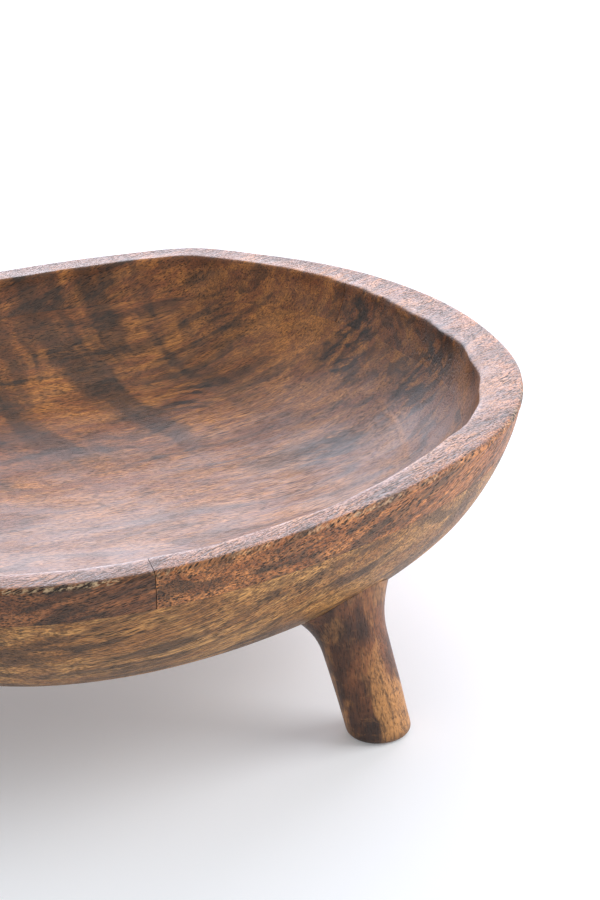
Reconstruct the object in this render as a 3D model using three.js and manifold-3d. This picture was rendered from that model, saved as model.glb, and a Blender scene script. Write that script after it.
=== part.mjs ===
// A shallow, hand-carved wooden bowl on four splayed legs.
// Three rim boards are butt-jointed into a ring and glued on a thick base slab, and the outside and the
// hollow are carved through both. Each leg has a flared shoulder that fits the underside, and a blind
// dowel joins it to the slab.
// Millimetres, +Z up. The origin is on the floor, at the middle of the overall width and depth. The legs
// stand a few degrees off the diagonals of X and Y.
import * as THREE from "three";
import { mergeVertices } from "three/addons/utils/BufferGeometryUtils.js";
import Module from "manifold-3d";

const wasm = await Module();
wasm.setup();

// Driving dimensions of the bowl
const RIM_HEIGHT = 119; // floor to the rim's top face
const BODY_DEPTH = 80; // rim to the lowest point of the underside
const HOLLOW_DEPTH = 59; // rim to the lowest point of the hollow
const GLUE_DEPTH = 18; // rim to the joint between the rim boards and the slab
const GAP = 0.3; // glue line between neighbouring pieces
const OUTER_ROUND = 2.4; // worn edge round the outside of the rim
const INNER_ROUND = 1.5; // worn edge round the hollow

// The carver's outline, as azimuth in degrees from +X towards +Y, and radius.
const OUTER_EDGE = [
  [-96, 201.5], [-61, 198], [-44, 200.5], [-27, 204], [-9, 201], [6, 196.5], [24, 195.5], [46, 199.5],
  [59, 202], [69, 207], [80, 200.5], [101, 196], [124, 200], [144, 203], [167, 197], [190, 197],
  [212, 204], [230, 203], [248, 199],
];
const INNER_EDGE = [
  [-96, 186], [-62, 184], [-44, 183], [-27, 186], [-11, 182], [4, 178], [18, 174.5], [32, 177],
  [48, 183], [59, 186.5], [69, 191], [81, 184], [102, 180], [124, 183], [144, 186], [167, 178],
  [190, 177], [212, 186], [230, 187], [248, 183],
];
// Height of the rim's top face above its mean, by azimuth
const RIM_WAVE = [
  [-84, -0.4], [-40, 0.3], [0, -0.5], [40, -0.6], [69, 1.1], [98, -0.3], [150, 0.5], [200, -0.6],
  [240, 0.4],
];
const MEAN_OUTER = 200;
const MEAN_INNER = 182;

// Each section is a superellipse: share ** side + (height / depth) ** foot = 1.
const OUTSIDE = { side: 5.35, foot: 1.31, steps: 15 };
const HOLLOW = { side: 3.5, foot: 1.6, steps: 13 };

// The joint where each rim board starts, by azimuth
const RIM_BOARDS = [
  { name: "rim_board_right", start: -83 },
  { name: "rim_board_back", start: 38 },
  { name: "rim_board_left", start: 158 },
];

// Driving dimensions of the legs and their dowels
const LEG_CORNERS = ["front_right", "back_right", "back_left", "front_left"];
const FIRST_LEG_AZIMUTH = -48.3;
const FOOT_CENTRE = 169.8; // bowl's axis to the middle of a foot
const SPLAY = 14.5; // degrees from upright
const FOOT_RADIUS = 13.7;
const FOOT_ROUND = 3;
const LEG_SECTION = [[13.4, 3], [13.9, 28], [14.4, 41], [15.1, 49], [16.6, 54], [19, 58.5], [20.2, 61]];
const LEG_TOP = 79; // along the leg's axis, past the underside that trims it
const SHOULDER_HEIGHT = 59; // along the leg's axis, to the middle of the underside that it meets
const SHOULDER_SLOPE = 0.36; // rise of the shoulder outwards, which follows the underside
const DOWEL_RADIUS = 6;
const DOWEL_ENDS = [39, 72]; // along the leg's axis
const DOWEL_CHAMFER = 1;

const STEPS_ROUND_BOWL = 96;
const STEPS_ROUND_LEG = 28;
const STEPS_ROUND_DOWEL = 20;
const BEYOND = 500; // width of a cutting block, well past the bowl
const AXIS_LIMIT = 1e-6; // a smaller share of the radius counts as on the axis
const MERGE_LIMIT = 1e-3; // vertices nearer than this are one

const FINISHES = {
  rim: { color: 0x8a5f4a, roughness: 0.5, metalness: 0 },
  slab: { color: 0x8f6542, roughness: 0.5, metalness: 0 },
  leg: { color: 0x5a3a26, roughness: 0.45, metalness: 0 },
  dowel: { color: 0xc9a878, roughness: 0.7, metalness: 0 },
};

const { degToRad, radToDeg } = THREE.MathUtils;

function solidOf(geometry) {
  const bare = geometry.clone();
  bare.deleteAttribute("normal");
  bare.deleteAttribute("uv");
  const merged = mergeVertices(bare, MERGE_LIMIT);
  return new wasm.Manifold(new wasm.Mesh({
    numProp: 3,
    vertProperties: merged.attributes.position.array,
    triVerts: new Uint32Array(merged.index.array),
  }));
}

function geometryOf(solid) {
  const { vertProperties, triVerts } = solid.getMesh();
  const geometry = new THREE.BufferGeometry();
  geometry.setAttribute("position", new THREE.BufferAttribute(vertProperties, 3));
  geometry.setIndex(new THREE.BufferAttribute(triVerts, 1));
  geometry.computeVertexNormals();
  return geometry;
}

// Turns a profile of [radius, height] round +Z. It runs up from the bottom of the axis to the top.
function turned(profile, steps) {
  const points = profile.map(([radius, height]) => new THREE.Vector2(radius, height));
  return new THREE.LatheGeometry(points, steps).rotateX(Math.PI / 2);
}

// A smooth value round the bowl through knots of [azimuth, value]
function roundTheBowl(knots) {
  const repeated = [-360, 0, 360].flatMap((turn) => (
    knots.map(([azimuth, value]) => [azimuth + turn, value])
  ));
  const azimuths = repeated.map(([azimuth]) => azimuth);
  const values = repeated.map(([, value]) => value);
  const curve = new THREE.CubicInterpolant(azimuths, values, 1, new Float32Array(1));
  return (azimuth) => curve.evaluate(azimuth)[0];
}

const outerEdge = roundTheBowl(OUTER_EDGE);
const innerEdge = roundTheBowl(INNER_EDGE);
const rimWave = roundTheBowl(RIM_WAVE);

// A section from the bottom of the axis to the rim, as [share of the edge's radius, height from the rim]
function bowlSection({ side, foot, steps }, depth) {
  return Array.from({ length: steps + 1 }, (_, step) => {
    const angle = (Math.PI / 2) * (step / steps);
    const share = step === 0 ? 0 : Math.sin(angle) ** (2 / side);
    return [share, -depth * Math.cos(angle) ** (2 / foot)];
  });
}

// Moves a turned solid of unit radius out to the carver's outline, and waves its rim up and down.
function carved(unit, edge) {
  const geometry = turned(unit, STEPS_ROUND_BOWL);
  const at = geometry.attributes.position;
  for (let i = 0; i < at.count; i += 1) {
    const azimuth = Math.atan2(at.getY(i), at.getX(i));
    const share = Math.hypot(at.getX(i), at.getY(i));
    const radius = share < AXIS_LIMIT ? 0 : share * edge(radToDeg(azimuth));
    const nearRim = share * Math.max(0, 1 + at.getZ(i) / GLUE_DEPTH);
    const height = RIM_HEIGHT + at.getZ(i) + nearRim * rimWave(radToDeg(azimuth));
    at.setXYZ(i, radius * Math.cos(azimuth), radius * Math.sin(azimuth), height);
  }
  return solidOf(geometry);
}

// The whole outside of the bowl, standing out by a margin
function outside(margin = 0) {
  const wall = bowlSection(OUTSIDE, BODY_DEPTH + margin)
    .filter(([, height]) => height < -OUTER_ROUND)
    .map(([share, height]) => [share * (1 + margin / MEAN_OUTER), height]);
  const inset = OUTER_ROUND / MEAN_OUTER;
  const worn = [[1, -OUTER_ROUND], [1 - inset * 0.3, -OUTER_ROUND * 0.3], [1 - inset, 0]];
  return carved([...wall, ...worn, [0, 0]], outerEdge);
}

function hollow() {
  const wall = bowlSection(HOLLOW, HOLLOW_DEPTH).filter(([, height]) => height < -INNER_ROUND);
  const mouth = 1 + INNER_ROUND / MEAN_INNER;
  const above = 2 * INNER_ROUND;
  return carved([...wall, [1, -INNER_ROUND], [mouth, 0], [mouth, above], [0, above]], innerEdge);
}

function blockBetween(low, high) {
  return solidOf(new THREE.BoxGeometry(BEYOND, BEYOND, high - low).translate(0, 0, (low + high) / 2));
}

function pointAt(azimuth, radius) {
  return new THREE.Vector2(Math.cos(degToRad(azimuth)), Math.sin(degToRad(azimuth))).multiplyScalar(radius);
}

// The plan between two joints, short of each by half a glue line
function planBetween(start, end) {
  const middle = (start + end) / 2;
  const tip = pointAt(middle, GAP / 2 / Math.sin(degToRad((end - start) / 2)));
  const corners = [start, middle, end].map((azimuth) => pointAt(azimuth, BEYOND).add(tip));
  const plan = new THREE.Shape([tip, ...corners]);
  return solidOf(new THREE.ExtrudeGeometry(plan, { depth: 2 * RIM_HEIGHT, bevelEnabled: false }));
}

// Stands a piece, made upright on the axis, at a corner with the leg's splay or with no splay.
function atCorner(geometry, corner, splay = SPLAY) {
  return geometry
    .rotateY(-degToRad(splay))
    .translate(FOOT_CENTRE, 0, 0)
    .rotateZ(degToRad(FIRST_LEG_AZIMUTH + (360 / LEG_CORNERS.length) * corner));
}

// A leg, still long at both ends. Its upper part slants, so that the flare follows the underside.
function legBlank(corner) {
  const [topRadius] = LEG_SECTION.at(-1);
  const ends = [[0, -FOOT_RADIUS], [FOOT_RADIUS, -FOOT_RADIUS], [topRadius, LEG_TOP], [0, LEG_TOP]];
  const geometry = turned([...ends.slice(0, 2), ...LEG_SECTION, ...ends.slice(2)], STEPS_ROUND_LEG);
  const at = geometry.attributes.position;
  for (let i = 0; i < at.count; i += 1) {
    const slope = SHOULDER_SLOPE * Math.max(0, at.getZ(i) / SHOULDER_HEIGHT) ** 2;
    at.setZ(i, at.getZ(i) + at.getX(i) * slope);
  }
  return solidOf(atCorner(geometry, corner));
}

// What is left of a leg by the floor: a flat foot with a round edge
function footTrim(corner) {
  const upright = turned([
    [0, 0],
    [FOOT_RADIUS - FOOT_ROUND, 0],
    [FOOT_RADIUS - FOOT_ROUND * 0.3, FOOT_ROUND * 0.3],
    [FOOT_RADIUS + FOOT_ROUND * 0.2, FOOT_ROUND],
    [FOOT_RADIUS + LEG_TOP, LEG_TOP],
    [0, LEG_TOP],
  ], STEPS_ROUND_LEG);
  return solidOf(atCorner(upright, corner, 0));
}

function dowelProfile(margin) {
  const [low, high] = DOWEL_ENDS;
  const radius = DOWEL_RADIUS + margin;
  return [
    [0, low - margin],
    [radius - DOWEL_CHAMFER, low - margin],
    [radius, low - margin + DOWEL_CHAMFER],
    [radius, high + margin - DOWEL_CHAMFER],
    [radius - DOWEL_CHAMFER, high + margin],
    [0, high + margin],
  ];
}

const bowl = new THREE.Group();
bowl.name = "carved_wooden_bowl";

function add(name, solid, finish) {
  const mesh = new THREE.Mesh(geometryOf(solid), new THREE.MeshStandardMaterial(FINISHES[finish]));
  mesh.name = name;
  bowl.add(mesh);
}

const carvedBowl = outside().subtract(hollow());
const glueHeight = RIM_HEIGHT - GLUE_DEPTH;
const dowelHoles = LEG_CORNERS.map((_, corner) =>
  solidOf(atCorner(turned(dowelProfile(GAP), STEPS_ROUND_DOWEL), corner)));

const rimRing = carvedBowl.intersect(blockBetween(glueHeight + GAP / 2, RIM_HEIGHT + GLUE_DEPTH));
RIM_BOARDS.forEach(({ name, start }, board) => {
  const next = RIM_BOARDS[(board + 1) % RIM_BOARDS.length].start;
  const end = next > start ? next : next + 360;
  add(name, rimRing.intersect(planBetween(start, end)), "rim");
});

const slab = carvedBowl.intersect(blockBetween(0, glueHeight - GAP / 2));
add("base_slab", dowelHoles.reduce((solid, hole) => solid.subtract(hole), slab), "slab");

const legTrim = outside(GAP);
LEG_CORNERS.forEach((corner, index) => {
  const leg = legBlank(index).intersect(footTrim(index)).subtract(legTrim).subtract(dowelHoles[index]);
  add(`leg_${corner}`, leg, "leg");
});

LEG_CORNERS.forEach((corner, index) => {
  add(`dowel_${corner}`, solidOf(atCorner(turned(dowelProfile(0), STEPS_ROUND_DOWEL), index)), "dowel");
});

const middle = new THREE.Box3().setFromObject(bowl).getCenter(new THREE.Vector3());
bowl.children.forEach((mesh) => mesh.geometry.translate(-middle.x, -middle.y, 0));

export default bowl;
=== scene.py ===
import math

import bmesh
import bpy
from mathutils import Matrix, Vector, noise
from mathutils.bvhtree import BVHTree


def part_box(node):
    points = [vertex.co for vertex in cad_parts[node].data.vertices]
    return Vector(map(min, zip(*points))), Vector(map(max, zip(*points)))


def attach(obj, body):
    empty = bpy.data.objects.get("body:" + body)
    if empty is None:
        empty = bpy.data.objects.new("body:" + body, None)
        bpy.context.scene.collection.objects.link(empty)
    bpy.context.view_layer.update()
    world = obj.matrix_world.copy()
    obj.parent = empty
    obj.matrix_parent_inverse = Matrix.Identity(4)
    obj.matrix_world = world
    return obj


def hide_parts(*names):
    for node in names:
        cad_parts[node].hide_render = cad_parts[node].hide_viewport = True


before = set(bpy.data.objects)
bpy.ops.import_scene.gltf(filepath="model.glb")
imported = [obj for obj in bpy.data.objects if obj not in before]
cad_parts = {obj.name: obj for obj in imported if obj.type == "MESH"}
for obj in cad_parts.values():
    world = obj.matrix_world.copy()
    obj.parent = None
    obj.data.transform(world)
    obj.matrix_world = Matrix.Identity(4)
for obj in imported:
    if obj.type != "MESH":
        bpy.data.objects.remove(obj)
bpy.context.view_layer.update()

bl_info = {
    "name": "Carved wooden bowl",
    "version": (1, 0, 0),
    "blender": (4, 5, 0),
    "location": "3D View > Sidebar > Bowl",
    "description": "Models a hand-carved wooden bowl on splayed legs, and the stage it stands on",
    "category": "Object",
}

MM = 0.001
BODY = "root"
RIM_NODES = ("rim_board_right", "rim_board_back", "rim_board_left")
SLAB_NODE = "base_slab"
CORNERS = ("front_right", "back_right", "back_left", "front_left")

GLUE_LINE = 0.3 * MM
CAD_STEPS = 96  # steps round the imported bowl, where its outline is read
EPSILON = 1e-6
JOINT_STEPS = 3600  # steps round the rim, where its joints are looked for
JOINT_GAP = math.radians(0.08)  # between neighbouring boards, as an angle at the bowl's axis
TOP_GAP = 0.2 * MM  # from the top of a leg to the slab
BOARD_MIDDLE = 9 * MM  # above the glue line, where the walls and the joints are read
NEAR_TOP = 14 * MM  # above the glue line, where the middle of the rim is read
OUTSIDE_RADIUS = 0.2  # about the rim's outside, before it is put out to the outline
HOLLOW_RADIUS = 0.182  # about the rim's inside, before it is put out to the outline
JOINT_REACH = 0.1  # the search for joints stops this short of the axis
SOLE_DEPTH = 0.05 * MM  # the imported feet's flat faces lie below this


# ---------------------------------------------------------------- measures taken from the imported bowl

def middle(node):
    low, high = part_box(node)
    return (low + high) / 2


def azimuth_of(point):
    return math.atan2(point.y - AXIS.y, point.x - AXIS.x)


def at_azimuth(azimuth, radius, height=0.0):
    return Vector((AXIS.x + radius * math.cos(azimuth), AXIS.y + radius * math.sin(azimuth), height))


def solid_tree(*nodes):
    """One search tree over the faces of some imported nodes."""
    points, faces = [], []
    for node in nodes:
        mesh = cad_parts[node].data
        first = len(points)
        points.extend(vertex.co.copy() for vertex in mesh.vertices)
        faces.extend([first + index for index in face.vertices] for face in mesh.polygons)
    return BVHTree.FromPolygons(points, faces)


class RoundTheBowl:
    """A smooth value round the bowl, through samples at even steps of azimuth."""

    def __init__(self, measure, steps=CAD_STEPS):
        self.samples = [measure(math.tau * step / steps) for step in range(steps)]

    def __call__(self, azimuth):
        steps = len(self.samples)
        place = (azimuth / math.tau) % 1.0 * steps
        step = int(place)
        along = place - step
        before, here, there, after = (self.samples[(step + i) % steps] for i in (-1, 0, 1, 2))
        bend = 2 * before - 5 * here + 4 * there - after
        twist = 3 * (here - there) + after - before
        return here + 0.5 * along * (there - before + along * (bend + along * twist))


AXIS = sum((middle(f"dowel_{corner}") for corner in CORNERS), Vector()) / len(CORNERS)
AXIS.z = 0.0
GLUE_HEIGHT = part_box(SLAB_NODE)[1].z + GLUE_LINE / 2
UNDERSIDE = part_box(SLAB_NODE)[0].z
BOWL_TREE = solid_tree(*RIM_NODES, SLAB_NODE)
SLAB_TREE = solid_tree(SLAB_NODE)
FAR = 1.0


def ray_radius(azimuth, height, inwards):
    """The radius of the wall's outside or inside at one height."""
    start = at_azimuth(azimuth, FAR if inwards else 0.0, height)
    direction = at_azimuth(azimuth, 1.0) - AXIS
    hit, *_ = BOWL_TREE.ray_cast(start, -direction if inwards else direction)
    if hit is None:
        raise RuntimeError(f"the packed bowl has no wall at azimuth {math.degrees(azimuth):.1f}")
    return math.hypot(hit.x - AXIS.x, hit.y - AXIS.y)


def top_height(azimuth):
    height = GLUE_HEIGHT + NEAR_TOP
    middle_of_rim = (ray_radius(azimuth, height, True) + ray_radius(azimuth, height, False)) / 2
    hit, *_ = BOWL_TREE.ray_cast(at_azimuth(azimuth, middle_of_rim, FAR), Vector((0, 0, -1)))
    if hit is None:
        raise RuntimeError("the packed rim has no top face")
    return hit.z


TOP = RoundTheBowl(top_height)
RIM_HEIGHT = sum(TOP.samples) / len(TOP.samples)
HOLLOW_FLOOR = BOWL_TREE.ray_cast(AXIS + Vector((0, 0, FAR)), Vector((0, 0, -1)))[0].z


# ---------------------------------------------------------------- sizes and colours that a user would change

def length(name, description, default):
    return bpy.props.FloatProperty(name=name, description=description, default=default, unit="LENGTH",
                                   subtype="DISTANCE", precision=5)


def angle(name, description, degrees):
    return bpy.props.FloatProperty(name=name, description=description, default=math.radians(degrees),
                                   unit="ROTATION", subtype="ANGLE")


def number(name, description, default):
    return bpy.props.FloatProperty(name=name, description=description, default=default)


def count(name, description, default):
    return bpy.props.IntProperty(name=name, description=description, default=default, min=3)


def linear(shown):
    """A colour as it looks on a screen, 0 to 255, turned into light."""
    return tuple((c / 255 / 12.92) if c <= 10 else ((c / 255 + 0.055) / 1.055) ** 2.4 for c in shown)


def colour(name, description, shown):
    return bpy.props.FloatVectorProperty(name=name, description=description, default=linear(shown),
                                         size=3, subtype="COLOR", min=0.0, max=1.0)


class BowlSizes(bpy.types.PropertyGroup):
    """The carved surfaces of the bowl."""
    outside_side: number("Outside, side", "How upright the outside is near the rim", 5.35)
    outside_foot: number("Outside, foot", "How flat the underside is", 1.31)
    hollow_side: number("Hollow, side", "How upright the inside is near the rim", 3.5)
    hollow_foot: number("Hollow, foot", "How flat the floor of the hollow is", 1.6)
    outer_round: length("Outer edge", "Depth of the worn edge round the outside of the rim", 2.4 * MM)
    inner_round: length("Inner edge", "Depth of the worn edge round the hollow", 1.5 * MM)
    waviness: length("Waviness", "How far the hand-carved surface waves in and out", 0.45 * MM)
    scallop: length("Scallops", "How far the hollow's edge waves along the rim", 1.8 * MM)
    steps_round: count("Steps round", "Faces round the whole bowl", 720)
    steps_wall: count("Steps down a wall", "Faces from the rim to the middle, on each side", 64)


class LegSizes(bpy.types.PropertyGroup):
    """The four legs."""
    foot_radius: length("Foot", "Radius of the leg just above its foot", 13.4 * MM)
    neck_radius: length("Neck", "Radius under the shoulder", 15.1 * MM)
    shoulder_radius: length("Shoulder", "Radius where the leg meets the underside", 20.2 * MM)
    foot_round: length("Foot edge", "Radius of the worn edge of the foot", 4.2 * MM)
    waviness: length("Waviness", "How far the hand-shaped leg waves in and out", 0.35 * MM)
    steps_round: count("Steps round", "Faces round each leg", 96)
    steps_along: count("Steps along", "Faces along each leg", 72)


class StageSizes(bpy.types.PropertyGroup):
    """The camera, the light and the floor."""
    lens: number("Lens", "Focal length in millimetres on a 36 mm frame", 100.0)
    distance: length("Camera distance", "From the middle of the bowl back to the camera", 1.04565)
    height: length("Camera height", "From the rim up to the camera", 0.38872)
    yaw: angle("Camera turn", "Turn of the view to the right of the middle of the bowl", 5.5492)
    pitch: angle("Camera tilt", "Tilt of the view below the horizon", 22.1957)
    roll: angle("Camera roll", "Roll of the camera about its own view", 4.8245)
    floor_colour: colour("Floor", "Colour of the pale floor", (228, 233, 240))
    floor_glow: number("Floor glow", "Light that comes up through the table", 0.17)


class WoodColours(bpy.types.PropertyGroup):
    """Colours of the woods."""
    slab_dark: colour("Slab, streaks", "Dark streaks outside the slab", (72, 48, 29))
    slab_mid: colour("Slab, ground", "Usual colour outside the slab", (176, 116, 58))
    slab_light: colour("Slab, light", "Golden wood outside the slab", (222, 162, 92))
    rim_dark: colour("Rim, streaks", "Dark streaks outside the back and left boards", (54, 38, 26))
    rim_mid: colour("Rim, ground", "Usual colour outside the back and left boards", (130, 76, 42))
    rim_light: colour("Rim, light", "Light wood outside the back and left boards", (184, 116, 66))
    right_dark: colour("Right board, streaks", "Dark streaks outside the right board", (66, 50, 34))
    right_mid: colour("Right board, ground", "Usual colour outside the right board", (168, 98, 50))
    right_light: colour("Right board, light", "Light wood outside the right board", (226, 146, 82))
    hollow_dark: colour("Hollow, streaks", "Dark streaks in the hollow", (62, 43, 30))
    hollow_mid: colour("Hollow, ground", "Usual colour in the hollow", (156, 92, 50))
    hollow_light: colour("Hollow, light", "Amber wood in the hollow", (214, 140, 68))
    # partly painted sheen: this pale pink stands both for worn wood and for the sheen on the rim's top
    top: colour("Rim top", "Pale worn wood on top of the rim", (206, 158, 132))
    pore: colour("Pores", "Colour of the open pores", (30, 22, 18))
    worn: colour("Worn edge", "Bare wood along the worn edge", (214, 186, 146))
    leg_dark: colour("Leg, stain", "Dark stain of the legs", (58, 32, 18))
    leg_mid: colour("Leg, ground", "Usual colour of the legs", (126, 74, 40))
    leg_light: colour("Leg, rubbed", "Stain rubbed through on the legs", (214, 152, 88))
    dowel: colour("Dowels", "Pale hardwood of the dowels", (205, 172, 128))


# ---------------------------------------------------------------- materials

class Field:
    """A socket in a material, which Python's operators join up with Math nodes."""

    def __init__(self, finish, socket):
        self.finish = finish
        self.socket = socket

    def math(self, operation, *others, clamp=False):
        values = dict(enumerate((self, *others)))
        return self.finish.node("ShaderNodeMath", {"operation": operation, "use_clamp": clamp}, values)

    def __add__(self, other):
        return self.math("ADD", other)

    def __sub__(self, other):
        return self.math("SUBTRACT", other)

    def __mul__(self, other):
        return self.math("MULTIPLY", other)

    def __rsub__(self, other):
        return self.math("MULTIPLY_ADD", -1.0, other)

    __radd__ = __add__
    __rmul__ = __mul__

    def clamped(self):
        return self.math("ADD", 0.0, clamp=True)

    def between(self, low, high):
        """0 below low, 1 above high and smooth in between; high may be under low."""
        settings = {"interpolation_type": "SMOOTHSTEP", "clamp": True}
        return self.finish.node("ShaderNodeMapRange", settings, {0: self, 1: low, 2: high, 3: 0.0, 4: 1.0})


class Finish:
    """One material, built up node by node."""

    def __init__(self, name):
        self.material = bpy.data.materials.new(name)
        self.material.use_nodes = True
        self.tree = self.material.node_tree
        self.tree.nodes.clear()

    def node(self, kind, settings=None, sockets=None, output=0):
        made = self.tree.nodes.new(kind)
        for name, value in (settings or {}).items():
            setattr(made, name, value)
        for name, value in (sockets or {}).items():
            if isinstance(value, Field):
                self.tree.links.new(value.socket, made.inputs[name])
            else:
                made.inputs[name].default_value = value
        return Field(self, made.outputs[output]) if made.outputs else made

    def grain_space(self, turn, place=(0.0, 0.0, 0.0), tilt=0.0):
        """Object coordinates in metres, turned so that X runs along the grain."""
        coordinates = self.node("ShaderNodeTexCoord", output="Object")
        sockets = {"Vector": coordinates, "Location": place, "Rotation": (0.0, tilt, turn)}
        return self.node("ShaderNodeMapping", {"vector_type": "TEXTURE"}, sockets)

    def vector(self, operation, first, second):
        return self.node("ShaderNodeVectorMath", {"operation": operation}, {0: first, 1: second})

    def noise(self, space, scale, detail=3.0, roughness=0.5, distortion=0.0, stretch=(1.0, 1.0, 1.0)):
        vector = self.vector("MULTIPLY", space, tuple(scale * s for s in stretch))
        sockets = {"Vector": vector, "Scale": 1.0, "Detail": detail, "Roughness": roughness,
                   "Distortion": distortion}
        return self.node("ShaderNodeTexNoise", {"noise_dimensions": "3D"}, sockets)

    def warped(self, space, scale, amount, detail=2.0):
        """The space, pushed about by a soft noise that is centred on nothing."""
        shove = self.node("ShaderNodeTexNoise", {"noise_dimensions": "3D"}, {
            "Vector": space, "Scale": scale, "Detail": detail}, output="Color")
        centred = self.vector("SUBTRACT", shove, (0.5, 0.5, 0.5))
        return self.vector("ADD", space, self.vector("MULTIPLY", centred, amount))

    def cells(self, space, stretch):
        """The distance to the nearest of many scattered points, in cells stretched by size."""
        vector = self.vector("MULTIPLY", space, stretch)
        settings = {"feature": "F1", "distance": "EUCLIDEAN", "voronoi_dimensions": "3D"}
        return self.node("ShaderNodeTexVoronoi", settings, {"Vector": vector, "Scale": 1.0})

    def blend(self, factor, first, second, how="MIX"):
        settings = {"data_type": "RGBA", "blend_type": how, "clamp_factor": True}
        first, second = (value if isinstance(value, Field) else (*value, 1.0) for value in (first, second))
        return self.node("ShaderNodeMix", settings, {0: factor, 6: first, 7: second}, output=2)

    def attribute(self, name):
        return self.node("ShaderNodeAttribute", {"attribute_type": "GEOMETRY", "attribute_name": name},
                         output="Fac")

    def place(self, axis):
        """One coordinate of the point, in metres."""
        coordinates = self.node("ShaderNodeTexCoord", output="Object")
        return self.node("ShaderNodeSeparateXYZ", {}, {0: coordinates}, output=axis)

    def apart(self, x, y):
        """How far the point is in plan from a place given from the bowl's axis."""
        across = self.place(0) - (AXIS.x + x)
        along = self.place(1) - (AXIS.y + y)
        return (across * across + along * along).math("SQRT")

    def surface(self, base, roughness, height, depth, coat=0.0, coat_roughness=0.3, ior=1.5,
                glow=None, glow_strength=0.0):
        bump = self.node("ShaderNodeBump", {}, {"Strength": 1.0, "Distance": depth, "Height": height})
        sockets = {"Base Color": base, "Roughness": roughness, "Normal": bump, "IOR": ior,
                   "Coat Weight": coat, "Coat Roughness": coat_roughness}
        if glow:
            sockets |= {"Emission Color": glow, "Emission Strength": glow_strength}
        shader = self.node("ShaderNodeBsdfPrincipled", {}, sockets)
        self.node("ShaderNodeOutputMaterial", {}, {"Surface": shader})
        return self.material


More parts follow.
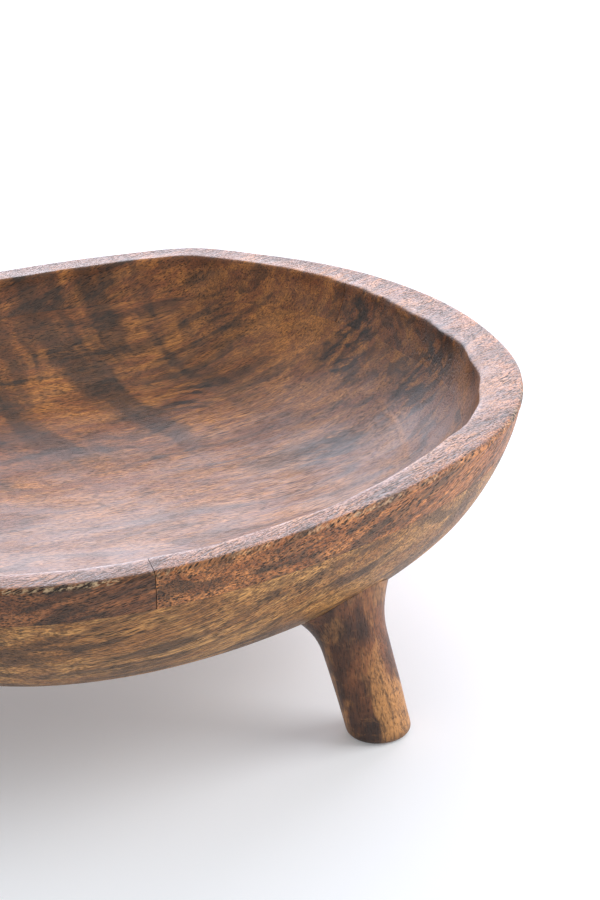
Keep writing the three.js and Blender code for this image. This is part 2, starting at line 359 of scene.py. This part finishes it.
def carved_wood(finish, colours, outside, inside, turn, tilt, pore_length, pore_width, pore_depth):
    """Oiled open-pored wood. The outside and the inside are (dark, ground, light) colours."""
    grain = finish.grain_space(turn, tuple(AXIS), tilt)
    waved = finish.warped(grain, 9.0, (0.0, 0.03, 0.02))
    close = finish.warped(grain, 55.0, (0.0, 0.0022, 0.0022))
    hollow = finish.attribute("hollow")

    bands = finish.noise(waved, 42.0, 2.0, 0.5, 0.8, (0.17, 0.7, 1.5))
    streaks = finish.noise(waved, 95.0, 3.0, 0.55, 0.6, (0.13, 0.8, 1.4))
    flecks = finish.noise(waved, 150.0, 3.0, 0.6, 0.4, (0.24, 1.0, 1.0))
    mottle = finish.noise(close, 320.0, 3.0, 0.6, 0.2, (0.4, 1.0, 1.0))
    strands = finish.noise(close, 800.0, 2.0, 0.6, 0.0, (0.07, 1.0, 1.0))
    fibre = finish.noise(close, 1700.0, 2.0, 0.6, 0.0, (0.07, 1.0, 1.0))
    cells = finish.cells(close, (1 / pore_length, 1 / pore_width, 1 / pore_width))
    fine_cells = finish.cells(close, (2.1 / pore_length, 1.7 / pore_width, 1.7 / pore_width))
    crowding = finish.noise(waved, 150.0, 2.0, 0.5, 0.0, (0.2, 1.0, 1.0)).between(0.36, 0.6)
    pores = cells.between(0.46, 0.2) * (0.35 + 0.65 * crowding)
    pores = pores.math("MAXIMUM", fine_cells.between(0.44, 0.24) * (0.75 - 0.35 * crowding))

    figure = tiger_figure(finish) * hollow
    knots = knot_shadows(finish) * hollow
    dark, ground, light = (finish.blend(hollow, out, within) for out, within in zip(outside, inside))
    tone = bands * 0.35 + flecks * 0.4 + mottle * 0.25
    wood = finish.blend(tone.between(0.42, 0.6) * (1 - 0.4 * figure), ground, light)
    top = 4 * hollow * (1 - hollow)
    scratches = rim_scratches(finish) * top
    slashes = finish.noise(waved, 58.0, 2.0, 0.5, 0.3, (0.25, 0.9, 1.6)).between(0.52, 0.62)
    streaked = streaks.between(0.49, 0.65) * (0.9 - 0.25 * hollow - 0.3 * top)
    streaked = streaked.math("MAXIMUM", slashes * (0.75 - 0.55 * hollow - 0.2 * top))
    # painted shade: darkens the right of the hollow towards the front, the side that faces away from the
    # right light
    painted_shade_right = hollow * finish.place(0).between(60 * MM, 160 * MM)
    painted_shade_right = painted_shade_right * finish.place(1).between(110 * MM, 50 * MM)
    shadows = (streaked + figure * 0.85 + knots * 0.6 + painted_shade_right * 0.3).clamped()
    # painted sheen over worn wood: the rim's top is blended towards a pale pink
    wood = finish.blend(top * 0.2, wood, colours.top)
    wood = finish.blend(shadows * (0.35 + 1.1 * mottle).clamped(), wood, dark)
    wood = finish.blend(strands.between(0.44, 0.64) * (0.55 - 0.2 * hollow), wood, dark)
    wood = finish.blend(fibre.between(0.44, 0.64) * (0.6 - 0.2 * hollow), wood, dark)
    wood = finish.blend(scratches * 0.75, wood, dark)
    ridge = gouge_ridge(finish) * hollow
    # painted highlight: the wood is lightened along the gouge ridge
    wood = finish.blend(ridge * 0.4, wood, light)
    # painted sheen: a patch at the front of the hollow gets darker wood and a stronger coat, placed so that
    # the lilac reflection shows from the camera
    painted_sheen_front = hollow * finish.place(0).between(100 * MM, 10 * MM)
    painted_sheen_front = painted_sheen_front * finish.place(1).between(45 * MM, -15 * MM)
    wood = finish.blend(painted_sheen_front * (1 - top) * 0.34, wood, dark)
    worn = finish.attribute("worn")
    speckle = finish.noise(close, 900.0, 2.0, 0.6, 0.0, (0.5, 1.0, 1.0)).between(0.42, 0.6)
    rubbed = finish.noise(waved, 60.0, 2.0).between(0.4, 0.62)
    wood = finish.blend(worn * speckle * rubbed * 0.75, wood, colours.worn)
    wood = finish.blend(knots * (0.35 + 0.5 * mottle.between(0.35, 0.6)), wood, colours.pore)
    open_pores = (pores * (0.9 - 0.15 * hollow) + worn * (1 - speckle) * 0.35).clamped()
    wood = finish.blend(open_pores, wood, colours.pore)
    relief = strands * 0.3 + fibre * 0.2 + mottle * 0.3 - pores - scratches * 1.6
    height = relief * (1 - 0.6 * hollow * (1 - top)) + ridge * 0.7
    roughness = 0.38 + 0.2 * pores + 0.2 * mottle - 0.06 * figure
    polish = finish.noise(waved, 62.0, 2.0, 0.5, 0.3, (0.45, 1.0, 1.0)).between(0.38, 0.64)
    coat = 0.12 + hollow * (1 - 0.6 * top) * (0.08 + 0.26 * polish + 0.28 * painted_sheen_front)
    return finish.surface(wood, roughness, height, pore_depth, coat, 0.33, 1.47)


def rim_scratches(finish):
    """Short fine scratches that sanding left across the top of the rim, from 0 to 1."""
    space = finish.grain_space(math.radians(40), tuple(AXIS))
    waved = finish.warped(space, 40.0, (0.0, 0.004, 0.0))
    fine = finish.noise(waved, 620.0, 2.0, 0.5, 0.0, (0.1, 1.0, 0.3)).between(0.53, 0.6)
    patches = finish.noise(space, 60.0, 2.0).between(0.34, 0.5)
    return fine * patches


def tiger_figure(finish):
    """Soft dark stripes across the grain on the back of the hollow, from 0 to 1."""
    space = finish.grain_space(math.radians(-62), tuple(AXIS))
    waved = finish.warped(space, 13.0, (0.0, 0.03, 0.0))
    rough = finish.warped(waved, 90.0, (0.0, 0.006, 0.0))
    stripes = finish.noise(rough, 84.0, 2.0, 0.45, 0.0, (0.13, 1.0, 0.1)).between(0.4, 0.66)
    reach = finish.place(0).between(0.115, 0.04) * finish.place(1).between(0.02, 0.1)
    return stripes * reach


KNOTS = (  # middle and radius in plan, from the bowl's axis
    (162 * MM, 22 * MM, 30 * MM),
    (140 * MM, 86 * MM, 26 * MM),
    (118 * MM, 20 * MM, 24 * MM),
    (60 * MM, 110 * MM, 24 * MM),
)


def knot_shadows(finish):
    """Dark broken streaks that gather round a few knots in the hollow, from 0 to 1."""
    space = finish.grain_space(math.radians(-14), tuple(AXIS))
    waved = finish.warped(space, 20.0, (0.0, 0.016, 0.01))
    streaks = finish.noise(waved, 230.0, 3.0, 0.6, 0.4, (0.2, 1.0, 0.6)).between(0.43, 0.58)
    near = None
    for knot_x, knot_y, radius in KNOTS:
        spot = finish.apart(knot_x, knot_y).between(radius, radius * 0.2)
        near = spot if near is None else near.math("MAXIMUM", spot)
    return streaks * near


def gouge_ridge(finish):
    """The thin ridge that a gouge left low on the right of the hollow, from 0 to 1. It raises a bump and
    carries a painted highlight.
    """
    space = finish.grain_space(0.0)
    wander = finish.noise(space, 30.0, 2.0)
    off = (finish.apart(0.0, 0.0) + 8 * MM * wander - 153 * MM).math("ABSOLUTE")
    reach = finish.place(1).between(-38 * MM, -20 * MM) * finish.place(1).between(46 * MM, 24 * MM)
    return off.between(2.2 * MM, 0.0) * reach * finish.place(0).between(0.1, 0.11)


def slab_wood(colours):
    finish = Finish("slab_wood")
    outside = (colours.slab_dark, colours.slab_mid, colours.slab_light)
    inside = (colours.hollow_dark, colours.hollow_mid, colours.hollow_light)
    return carved_wood(finish, colours, outside, inside, math.radians(3), math.radians(-9),
                       7.0 * MM, 0.8 * MM, 0.32 * MM)


def rim_wood(colours, name, outside, grain_degrees, pore_length, pore_width, depth):
    finish = Finish(name)
    inside = (colours.hollow_dark, colours.hollow_mid, colours.hollow_light)
    return carved_wood(finish, colours, outside, inside, math.radians(grain_degrees), math.radians(-16),
                       pore_length, pore_width, depth)


def leg_wood(colours):
    finish = Finish("leg_wood")
    space = finish.grain_space(0.0)
    waved = finish.warped(space, 60.0, (0.006, 0.006, 0.0))
    stain = finish.noise(waved, 48.0, 3.0, 0.6, 0.3, (1.0, 1.0, 0.5))
    rubbed = finish.noise(waved, 70.0, 4.0, 0.6, 0.2, (1.0, 1.0, 0.4))
    scratches = finish.noise(waved, 420.0, 3.0, 0.65, 0.0, (1.0, 1.0, 0.12))
    rings = finish.noise(waved, 300.0, 4.0, 0.7, 0.6, (0.5, 0.5, 1.0))
    fibre = finish.noise(space, 1300.0, 2.0, 0.6, 0.0, (1.0, 1.0, 0.06))
    cells = finish.cells(space, (1 / (0.6 * MM), 1 / (0.6 * MM), 1 / (3.5 * MM)))
    pores = cells.between(0.44, 0.2)
    low = finish.place(2).between(44 * MM, 10 * MM)
    ground = finish.blend(stain.between(0.38, 0.6), colours.leg_dark, colours.leg_mid)
    bare = (rubbed + 0.07 * low).between(0.5, 0.64) * (0.1 + 1.3 * scratches).clamped() * (0.6 + 0.4 * low)
    golden = finish.blend(bare, ground, colours.leg_light)
    golden = finish.blend(scratches.between(0.48, 0.68) * 0.6, golden, colours.leg_dark)
    golden = finish.blend(rings.between(0.5, 0.66) * 0.4, golden, colours.leg_dark)
    golden = finish.blend(rings.between(0.46, 0.3) * 0.16, golden, colours.leg_light)
    worn = finish.attribute("worn")
    # worn stain and painted shade: each leg darkens towards the floor
    worn_and_shaded_foot = finish.blend(worn * 0.75, golden, colours.leg_dark)
    base = finish.blend((fibre.between(0.45, 0.7) * 0.45 + pores * 0.3).clamped(), worn_and_shaded_foot, colours.pore)
    height = fibre * 0.4 + scratches * 0.6 - pores - rings * 0.4
    return finish.surface(base, 0.36 + 0.24 * scratches, height, 0.22 * MM, 0.14, 0.28)


def dowel_wood(colours):
    finish = Finish("dowel_wood")
    space = finish.grain_space(0.0)
    fibre = finish.noise(space, 700.0, 3.0, 0.6, 0.0, (1.0, 1.0, 0.08))
    base = finish.blend(fibre.between(0.4, 0.8) * 0.4, colours.dowel, colours.slab_mid)
    return finish.surface(base, 0.7 - 0.1 * fibre, fibre, 0.1 * MM)


def floor_paint(stage):
    """A pale, softly lit table, which lightens the shadow under the bowl."""
    finish = Finish("pale_floor")
    space = finish.grain_space(0.0)
    mottle = finish.noise(space, 3.0, 2.0)
    base = finish.blend(mottle * 0.1, stage.floor_colour, (0.8, 0.8, 0.82))
    glow = finish.blend(mottle * 0.1, (1.0, 1.0, 1.0), (0.9, 0.9, 0.9))
    return finish.surface(base, 0.7 + 0.05 * mottle, mottle, 0.1 * MM, ior=1.3,
                          glow=glow, glow_strength=stage.floor_glow)


# ---------------------------------------------------------------- carving

def superellipse(side, foot, depth, steps):
    """A section from the rim down to the axis, as (share of the edge's radius, height from the rim)."""
    section = []
    for step in range(steps + 1):
        turn = math.pi / 2 * step / steps
        share = math.cos(turn) ** (2 / side) if step < steps else 0.0
        section.append((share, -depth * math.sin(turn) ** (2 / foot)))
    return section


def share_at(side, foot, depth, below):
    return (1 - (below / depth) ** foot) ** (1 / side)


def soft_noise(point, wavelength, seed):
    """A smooth value from about -1 to 1, always the same at the same place."""
    return noise.noise(point / wavelength + Vector((seed, seed * 0.7, -seed)))


NOTCHES = (  # azimuth, half width and depth of the chips in the hollow's edge
    (math.radians(27.5), math.radians(1.7), 1.3 * MM),
    (math.radians(42), math.radians(1.6), 0.9 * MM),
)


class Carver:
    """Puts a spun section out to the hand-carved outline."""

    def __init__(self, sizes):
        self.sizes = sizes
        self.outer_depth = RIM_HEIGHT - UNDERSIDE
        self.inner_depth = RIM_HEIGHT - HOLLOW_FLOOR
        below = RIM_HEIGHT - GLUE_HEIGHT - BOARD_MIDDLE
        out_share = share_at(sizes.outside_side, sizes.outside_foot, self.outer_depth, below)
        in_share = share_at(sizes.hollow_side, sizes.hollow_foot, self.inner_depth, below)
        height = RIM_HEIGHT - below
        self.outer = RoundTheBowl(lambda azimuth: ray_radius(azimuth, height, True) / out_share)
        self.inner = RoundTheBowl(lambda azimuth: ray_radius(azimuth, height, False) / in_share)

    def outside(self, low, high):
        """The outside of the wall between two depths under the rim, from the top down."""
        sizes = self.sizes
        section = superellipse(sizes.outside_side, sizes.outside_foot, self.outer_depth, sizes.steps_wall)
        return [(0.0, share, height) for share, height in section if low < -height < high]

    def inside(self, low, high):
        sizes = self.sizes
        section = superellipse(sizes.hollow_side, sizes.hollow_foot, self.inner_depth, sizes.steps_wall)
        return [(1.0, share, height) for share, height in section if low < -height < high]

    def wall_at(self, hollow, depth):
        sizes = self.sizes
        if hollow:
            return (1.0, share_at(sizes.hollow_side, sizes.hollow_foot, self.inner_depth, depth), -depth)
        return (0.0, share_at(sizes.outside_side, sizes.outside_foot, self.outer_depth, depth), -depth)

    def spin(self, section, start, turn, closed):
        """A bmesh of the section, as (hollow or outside, share, height), spun from one azimuth."""
        bm = bmesh.new()
        hollow = bm.verts.layers.float.new("hollow")
        share = bm.verts.layers.float.new("share")
        made = []
        for side, part, height in section:
            mean = OUTSIDE_RADIUS * (1 - side) + HOLLOW_RADIUS * side
            vertex = bm.verts.new(at_azimuth(start, mean * part, RIM_HEIGHT + height))
            vertex[hollow] = side
            vertex[share] = part
            made.append(vertex)
        pairs = list(zip(made, made[1:] + made[:1])) if closed else list(zip(made, made[1:]))
        edges = [bm.edges.new(pair) for pair in pairs]
        steps = max(2, round(self.sizes.steps_round * turn / math.tau))
        whole = turn > math.tau - EPSILON
        bmesh.ops.spin(bm, geom=made + edges, cent=AXIS, axis=(0, 0, 1), dvec=(0, 0, 0), angle=turn,
                       steps=steps, use_merge=whole)
        bmesh.ops.remove_doubles(bm, verts=bm.verts, dist=EPSILON)
        return bm

    def carve(self, bm):
        """Moves the spun section out to the outline, with the waves that carving by hand leaves."""
        sizes = self.sizes
        hollow = bm.verts.layers.float["hollow"]
        share = bm.verts.layers.float["share"]
        for vertex in bm.verts:
            radius = math.hypot(vertex.co.x - AXIS.x, vertex.co.y - AXIS.y)
            if radius < EPSILON:
                continue
            azimuth = azimuth_of(vertex.co)
            side, part = vertex[hollow], vertex[share]
            depth = RIM_HEIGHT - vertex.co.z
            near_rim = max(0.0, 1 - depth / (RIM_HEIGHT - GLUE_HEIGHT))
            edge = self.outer(azimuth) * (1 - side) + self.inner(azimuth) * side
            reach = at_azimuth(azimuth, OUTSIDE_RADIUS)
            scallop = sizes.scallop * side * near_rim ** 2 * soft_noise(reach, 22 * MM, 3.1)
            scallop += side * near_rim ** 3 * sum(
                depth_of * math.exp(-((azimuth - at) / width) ** 2) for at, width, depth_of in NOTCHES)
            wave = sizes.waviness * soft_noise(vertex.co, 45 * MM, 7.3 + 20 * side) * (1 - near_rim * 0.6)
            lift = near_rim * (TOP(azimuth) - RIM_HEIGHT)
            vertex.co = at_azimuth(azimuth, part * edge + scallop - abs(wave) * (1 - side) + wave * side,
                                   vertex.co.z + lift)


def finish_mesh(bm, name, material, node, crease=math.radians(32)):
    """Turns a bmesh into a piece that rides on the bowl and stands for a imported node."""
    bmesh.ops.recalc_face_normals(bm, faces=bm.faces)
    for face in bm.faces:
        face.smooth = True
    for edge in bm.edges:
        edge.smooth = len(edge.link_faces) == 2 and edge.calc_face_angle(0.0) < crease
    mesh = bpy.data.meshes.new(name)
    bm.to_mesh(mesh)
    bm.free()
    piece = bpy.data.objects.new(name, mesh)
    bpy.context.scene.collection.objects.link(piece)
    mesh.materials.append(material)
    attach(piece, BODY)
    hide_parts(node)
    return piece


def board_azimuths():
    """Where each rim board starts and how far it turns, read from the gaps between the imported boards."""
    ends = []
    for node in RIM_NODES:
        tree = solid_tree(node)
        on_board = []
        for step in range(JOINT_STEPS):
            azimuth = math.tau * step / JOINT_STEPS
            start = at_azimuth(azimuth, FAR, GLUE_HEIGHT + BOARD_MIDDLE)
            hit, *_ = tree.ray_cast(start, AXIS - at_azimuth(azimuth, 1.0), FAR - JOINT_REACH)
            on_board.append(hit is not None)
        first = next(i for i in range(JOINT_STEPS) if on_board[i] and not on_board[i - 1])
        ends.append((first, first + sum(on_board) - 1))
    spans = []
    step_angle = math.tau / JOINT_STEPS
    for i, (first, last) in enumerate(ends):
        before = ends[i - 1][1]
        after = ends[(i + 1) % len(ends)][0]
        start = first - ((first - before) % JOINT_STEPS) / 2
        turn = last + ((after - last) % JOINT_STEPS) / 2 - start
        spans.append((start * step_angle + JOINT_GAP / 2, turn * step_angle - JOINT_GAP))
    return spans


OUTER_EDGE_TURNS = (88, 70, 50, 30, 10)  # degrees round the worn outer edge
INNER_EDGE_TURNS = (10, 35, 60, 85)  # degrees round the worn inner edge
TOP_STEPS = 10  # across the rim's top


def rim_section(carver):
    """The closed section of a rim board, from the glue line up the outside and down the hollow."""
    sizes = carver.sizes
    glue = RIM_HEIGHT - GLUE_HEIGHT - GLUE_LINE / 20
    down = carver.outside(sizes.outer_round * 1.3, glue - 0.3 * MM)
    outer = [carver.wall_at(False, glue), *reversed(down)]
    inset = sizes.outer_round / OUTSIDE_RADIUS
    rounded = [(0.0, 1 - inset * (1 - math.sin(a)) * 0.9, -sizes.outer_round * (1 - math.cos(a)))
               for a in map(math.radians, OUTER_EDGE_TURNS)]
    lip = sizes.inner_round / HOLLOW_RADIUS
    lipped = [(1.0, 1 + lip * (1 - math.sin(a)), -sizes.inner_round * (1 - math.cos(a)))
              for a in map(math.radians, INNER_EDGE_TURNS)]
    across = []
    (_, out_share, _), (_, in_share, _) = rounded[-1], lipped[0]
    for step in range(1, TOP_STEPS):
        part = step / TOP_STEPS
        across.append((part, out_share * (1 - part) + in_share * part, 0.0))
    up = carver.inside(sizes.inner_round * 1.2, glue - 0.3 * MM)
    return [*outer, *rounded, *across, *lipped, *up, carver.wall_at(True, glue)]


def slab_section(carver):
    """The section of the slab, from the glue line out and down to the axis, and from the axis back up."""
    glue = RIM_HEIGHT - GLUE_HEIGHT + GLUE_LINE / 20
    outer = [carver.wall_at(False, glue), *carver.outside(glue + 0.2 * MM, FAR)]
    inner = [carver.wall_at(True, glue), *carver.inside(glue + 0.2 * MM, FAR)]
    across = []
    (_, out_share, height), (_, in_share, _) = outer[0], inner[0]
    for step in range(1, 4):
        part = step / 4
        across.append((part, out_share * (1 - part) + in_share * part, height))
    return [*reversed(outer), *across, *inner]


def mark_wear(bm, value):
    """Stores how worn each point is, from 0 to 1, for the material. On the legs it also stands for a painted
    shade near the floor.
    """
    layer = bm.verts.layers.float.new("worn")
    for vertex in bm.verts:
        vertex[layer] = value(vertex)


# ---------------------------------------------------------------- operators

class BOWL_OT_rim_boards(bpy.types.Operator):
    """Carves the three boards of the rim"""
    bl_idname = "bowl.rim_boards"
    bl_label = "Rim boards"

    def execute(self, context):
        sizes, colours = context.scene.bowl_sizes, context.scene.wood_colours
        carver = Carver(sizes)
        right = (colours.right_dark, colours.right_mid, colours.right_light)
        rest = (colours.rim_dark, colours.rim_mid, colours.rim_light)
        woods = {
            "rim_board_right": rim_wood(colours, "rim_wood_right", right, 45, 4.4 * MM, 1.1 * MM, 0.6 * MM),
            "rim_board_back": rim_wood(colours, "rim_wood_back", rest, 20, 5.0 * MM, 0.9 * MM, 0.35 * MM),
            "rim_board_left": rim_wood(colours, "rim_wood_left", rest, 8, 7.5 * MM, 0.8 * MM, 0.4 * MM),
        }
        wear = {"rim_board_right": 0.55, "rim_board_back": 0.4, "rim_board_left": 1.0}
        for node, (start, turn) in zip(RIM_NODES, board_azimuths()):
            bm = carver.spin(rim_section(carver), start, turn, closed=True)
            open_edges = [edge for edge in bm.edges if edge.is_boundary]
            bmesh.ops.holes_fill(bm, edges=open_edges, sides=0)
            carver.carve(bm)
            mark_wear(bm, lambda v: wear[node] * self.wear(carver, v))
            finish_mesh(bm, node.replace("board", "carved"), woods[node], node)
        return {"FINISHED"}

    @staticmethod
    def wear(carver, vertex):
        azimuth = azimuth_of(vertex.co)
        below = TOP(azimuth) - vertex.co.z
        radius = math.hypot(vertex.co.x - AXIS.x, vertex.co.y - AXIS.y)
        if radius < (carver.outer(azimuth) + carver.inner(azimuth)) / 2:
            return 0.0
        return max(0.0, min(1.0, below / (0.5 * MM))) * max(0.0, min(1.0, (2.1 * MM - below) / (0.7 * MM)))


class BOWL_OT_slab(bpy.types.Operator):
    """Carves the slab under the rim, with the floor of the hollow"""
    bl_idname = "bowl.slab"
    bl_label = "Base slab"

    def execute(self, context):
        carver = Carver(context.scene.bowl_sizes)
        bm = carver.spin(slab_section(carver), 0.0, math.tau, closed=False)
        carver.carve(bm)
        finish_mesh(bm, "carved_slab", slab_wood(context.scene.wood_colours), SLAB_NODE)
        return {"FINISHED"}


FLARE_START, FLARE_LENGTH = 0.7, 0.3  # shares of a leg's length
WORN_AND_SHADED_FOOT = 0.09  # share of a leg's length that darkens towards the floor, as worn stain and painted shade


class BOWL_OT_legs(bpy.types.Operator):
    """Shapes the four legs, from the floor to the underside of the slab"""
    bl_idname = "bowl.legs"
    bl_label = "Legs"

    def execute(self, context):
        wood = leg_wood(context.scene.wood_colours)
        for corner in CORNERS:
            self.leg(context.scene.leg_sizes, corner, wood)
        return {"FINISHED"}

    def leg(self, sizes, corner, wood):
        foot = self.foot_centre(corner)
        up = (middle(f"dowel_{corner}") - foot).normalized()
        length = self.reach(foot, up)
        out = up.orthogonal().normalized()
        bm = bmesh.new()
        along = bm.verts.layers.float.new("along")
        made = []
        for share, radius in self.profile(sizes, length):
            vertex = bm.verts.new(foot + out * radius + up * share * length)
            vertex[along] = share
            made.append(vertex)
        edges = [bm.edges.new(pair) for pair in zip(made, made[1:])]
        bmesh.ops.spin(bm, geom=made + edges, cent=foot, axis=up, dvec=(0, 0, 0), angle=math.tau,
                       steps=sizes.steps_round, use_merge=True)
        bmesh.ops.remove_doubles(bm, verts=bm.verts, dist=EPSILON)
        for vertex in bm.verts:
            share = vertex[along]
            start = vertex.co - up * share * length
            across = start - foot
            on_floor = -start.z / up.z
            rise = on_floor + (self.reach(start, up) - TOP_GAP - on_floor) * share
            wave = sizes.waviness * soft_noise(start + up * rise, 22 * MM, 5.5) * min(1.0, 6 * share)
            outward = across.normalized() if across.length > EPSILON else Vector()
            vertex.co = start + up * rise + outward * wave
        mark_wear(bm, lambda v: max(0.0, 1 - v[along] / WORN_AND_SHADED_FOOT))
        finish_mesh(bm, f"shaped_leg_{corner}", wood, f"leg_{corner}")

    @staticmethod
    def reach(start, up):
        """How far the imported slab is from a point, along the leg. On the axis that is up its dowel hole."""
        hit, _, _, distance = SLAB_TREE.ray_cast(start, up)
        if hit is None:
            raise RuntimeError("the leg misses the slab")
        return distance

    @staticmethod
    def foot_centre(corner):
        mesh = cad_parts[f"leg_{corner}"].data
        sole = [vertex.co for vertex in mesh.vertices if vertex.co.z < SOLE_DEPTH]
        return sum(sole, Vector()) / len(sole)

    @staticmethod
    def profile(sizes, length):
        """Radius against the share of the way up, from the middle of the foot to the top's middle."""
        quarter = [math.radians(90 * step / 8) for step in range(9)]
        rounded = [(sizes.foot_round * (1 - math.cos(a)) / length,
                    sizes.foot_radius - sizes.foot_round * (1 - math.sin(a))) for a in quarter]
        points = [(0.0, 0.0), (0.0, rounded[0][1] * 0.5), *rounded]
        first = rounded[-1][0]
        for step in range(1, sizes.steps_along + 1):
            share = first + (1 - first) * step / sizes.steps_along
            straight = sizes.foot_radius + (sizes.neck_radius - sizes.foot_radius) * share ** 1.6
            rise = max(0.0, (share - FLARE_START) / FLARE_LENGTH)
            flare = (sizes.shoulder_radius - sizes.neck_radius) * rise ** 2.2
            points.append((share, straight + flare))
        return [*points, (1.0, points[-1][1] * 0.5), (1.0, 0.0)]


class BOWL_OT_dowels(bpy.types.Operator):
    """Gives the hidden dowels their wood"""
    bl_idname = "bowl.dowels"
    bl_label = "Dowels"

    def execute(self, context):
        wood = dowel_wood(context.scene.wood_colours)
        for corner in CORNERS:
            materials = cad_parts[f"dowel_{corner}"].data.materials
            materials.clear()
            materials.append(wood)
        return {"FINISHED"}


class BOWL_OT_stage(bpy.types.Operator):
    """Sets the floor, the soft lights and the camera"""
    bl_idname = "bowl.stage"
    bl_label = "Stage"

    def execute(self, context):
        stage = context.scene.stage_sizes
        self.floor(stage)
        self.lights()
        self.camera(stage)
        context.scene.view_settings.view_transform = "Standard"
        return {"FINISHED"}

    @staticmethod
    def floor(stage):
        bm = bmesh.new()
        bmesh.ops.create_grid(bm, x_segments=8, y_segments=8, size=8.0)
        mesh = bpy.data.meshes.new("floor")
        bm.to_mesh(mesh)
        bm.free()
        mesh.materials.append(floor_paint(stage))
        floor = bpy.data.objects.new("floor", mesh)
        bpy.context.scene.collection.objects.link(floor)

    @staticmethod
    def lights():
        world = bpy.data.worlds.new("studio")
        world.use_nodes = True
        world.node_tree.nodes["Background"].inputs["Color"].default_value = (0.96, 0.98, 1.0, 1.0)
        world.node_tree.nodes["Background"].inputs["Strength"].default_value = 0.62
        bpy.context.scene.world = world
        softboxes = (
            ("softbox_back", (0.5, 2.5, 1.0), (3.8, 1.7), 100.0, (0.92, 0.88, 1.0)),
            ("softbox_right", (2.3, -0.3, 1.2), (2.0, 1.8), 56.0, (1.0, 0.98, 0.95)),
            ("softbox_top", (0.3, 0.6, 2.6), (2.4, 2.4), 5.0, (1.0, 1.0, 1.0)),
        )
        for name, place, (width, depth), power, tint in softboxes:
            light = bpy.data.lights.new(name, "AREA")
            light.shape = "RECTANGLE"
            light.size = width
            light.size_y = depth
            light.energy = power
            light.color = tint
            box = bpy.data.objects.new(name, light)
            box.location = place
            aim = Vector((0.0, 0.0, RIM_HEIGHT)) - box.location
            box.rotation_euler = aim.to_track_quat("-Z", "Y").to_euler()
            bpy.context.scene.collection.objects.link(box)

    @staticmethod
    def camera(stage):
        ahead = math.cos(stage.pitch)
        forward = Vector((math.sin(stage.yaw) * ahead, math.cos(stage.yaw) * ahead, -math.sin(stage.pitch)))
        level = Vector((math.cos(stage.yaw), -math.sin(stage.yaw), 0.0))
        down = forward.cross(level)
        right = math.cos(stage.roll) * level + math.sin(stage.roll) * down
        camera = bpy.data.cameras.new("camera")
        camera.lens = stage.lens
        camera.sensor_width = 36.0
        holder = bpy.data.objects.new("camera", camera)
        up = right.cross(forward)
        turn = Matrix((right, up, -forward)).transposed()
        place = AXIS + Vector((0.0, -stage.distance, RIM_HEIGHT + stage.height))
        holder.matrix_world = Matrix.Translation(place) @ turn.to_4x4()
        bpy.context.scene.collection.objects.link(holder)
        bpy.context.scene.camera = holder


class BOWL_PT_panel(bpy.types.Panel):
    """Lists the steps of making the bowl"""
    bl_idname = "BOWL_PT_panel"
    bl_label = "Carved bowl"
    bl_space_type = "VIEW_3D"
    bl_region_type = "UI"
    bl_category = "Bowl"

    def draw(self, context):
        for operator in OPERATORS:
            self.layout.operator(operator.bl_idname)
        for name in SETTINGS:
            settings = getattr(context.scene, name)
            for setting in settings.__annotations__:
                self.layout.prop(settings, setting)


OPERATORS = (BOWL_OT_slab, BOWL_OT_rim_boards, BOWL_OT_legs, BOWL_OT_dowels, BOWL_OT_stage)
SETTINGS = {"bowl_sizes": BowlSizes, "leg_sizes": LegSizes, "stage_sizes": StageSizes,
            "wood_colours": WoodColours}


def register():
    for cls in (*SETTINGS.values(), *OPERATORS, BOWL_PT_panel):
        bpy.utils.register_class(cls)
    for name, cls in SETTINGS.items():
        setattr(bpy.types.Scene, name, bpy.props.PointerProperty(type=cls))


def unregister():
    for name in SETTINGS:
        delattr(bpy.types.Scene, name)
    for cls in reversed((*SETTINGS.values(), *OPERATORS, BOWL_PT_panel)):
        bpy.utils.unregister_class(cls)


def main():
    register()
    for operator in OPERATORS:
        group, step = operator.bl_idname.split(".")
        getattr(getattr(bpy.ops, group), step)()


if __name__ == "__main__":
    main()
